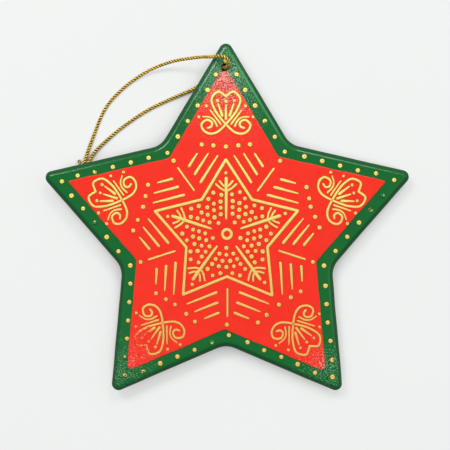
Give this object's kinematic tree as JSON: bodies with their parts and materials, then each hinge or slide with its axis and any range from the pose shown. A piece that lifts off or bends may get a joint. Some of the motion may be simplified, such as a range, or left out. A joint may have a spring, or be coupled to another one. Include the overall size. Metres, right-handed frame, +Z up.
{
  "type": "wooden star ornament",
  "caption": "Flat wooden star ornament with rounded edges, a red field, a green border and a gold folk pattern, hung by a knotted loop of metallic cord",
  "frame": {"origin": "on the table, under the middle of the star's box, as it lies on its back propped by its knot", "axes": "+Z up from the table, +Y towards the arm with the hanging hole, +X across the star, to the right as its front is seen"},
  "size_m": [0.1008, 0.096, 0.0108],
  "materials": {
    "green_lacquer": "dark green gloss lacquer on wood, slightly uneven brush texture",
    "red_lacquer": "bright red lacquer film, semi-gloss",
    "gold_paint": "gold paint in low relief",
    "metallic_cord": "twisted gold metallic cord"
  },
  "bodies": {
    "root": {"star_board": "green_lacquer", "red_field": "red_lacquer", "gold_star_line": "gold_paint", "gold_centre_ring": "gold_paint", "gold_sprig_1": "gold_paint", "gold_heart_1": "gold_paint", "gold_ray_1": "gold_paint", "gold_stroke_1_left_inner": "gold_paint", "gold_stroke_1_left_middle": "gold_paint", "gold_stroke_1_left_outer": "gold_paint", "gold_stroke_1_right_inner": "gold_paint", "gold_stroke_1_right_middle": "gold_paint", "gold_stroke_1_right_outer": "gold_paint", "gold_sprig_2": "gold_paint", "gold_heart_2": "gold_paint", "gold_ray_2": "gold_paint", "gold_stroke_2_left_inner": "gold_paint", "gold_stroke_2_left_middle": "gold_paint", "gold_stroke_2_left_outer": "gold_paint", "gold_stroke_2_right_inner": "gold_paint", "gold_stroke_2_right_middle": "gold_paint", "gold_stroke_2_right_outer": "gold_paint", "gold_sprig_3": "gold_paint", "gold_heart_3": "gold_paint", "gold_ray_3": "gold_paint", "gold_stroke_3_left_inner": "gold_paint", "gold_stroke_3_left_middle": "gold_paint", "gold_stroke_3_left_outer": "gold_paint", "gold_stroke_3_right_inner": "gold_paint", "gold_stroke_3_right_middle": "gold_paint", "gold_stroke_3_right_outer": "gold_paint", "gold_sprig_4": "gold_paint", "gold_heart_4": "gold_paint", "gold_ray_4": "gold_paint", "gold_stroke_4_left_inner": "gold_paint", "gold_stroke_4_left_middle": "gold_paint", "gold_stroke_4_left_outer": "gold_paint", "gold_stroke_4_right_inner": "gold_paint", "gold_stroke_4_right_middle": "gold_paint", "gold_stroke_4_right_outer": "gold_paint", "gold_sprig_5": "gold_paint", "gold_heart_5": "gold_paint", "gold_ray_5": "gold_paint", "gold_stroke_5_left_inner": "gold_paint", "gold_stroke_5_left_middle": "gold_paint", "gold_stroke_5_left_outer": "gold_paint", "gold_stroke_5_right_inner": "gold_paint", "gold_stroke_5_right_middle": "gold_paint", "gold_stroke_5_right_outer": "gold_paint", "cord_front_strand": "metallic_cord", "cord_through_hole": "metallic_cord", "cord_back_strand": "metallic_cord", "cord_knot": "metallic_cord"}
  },
  "joints": []
}
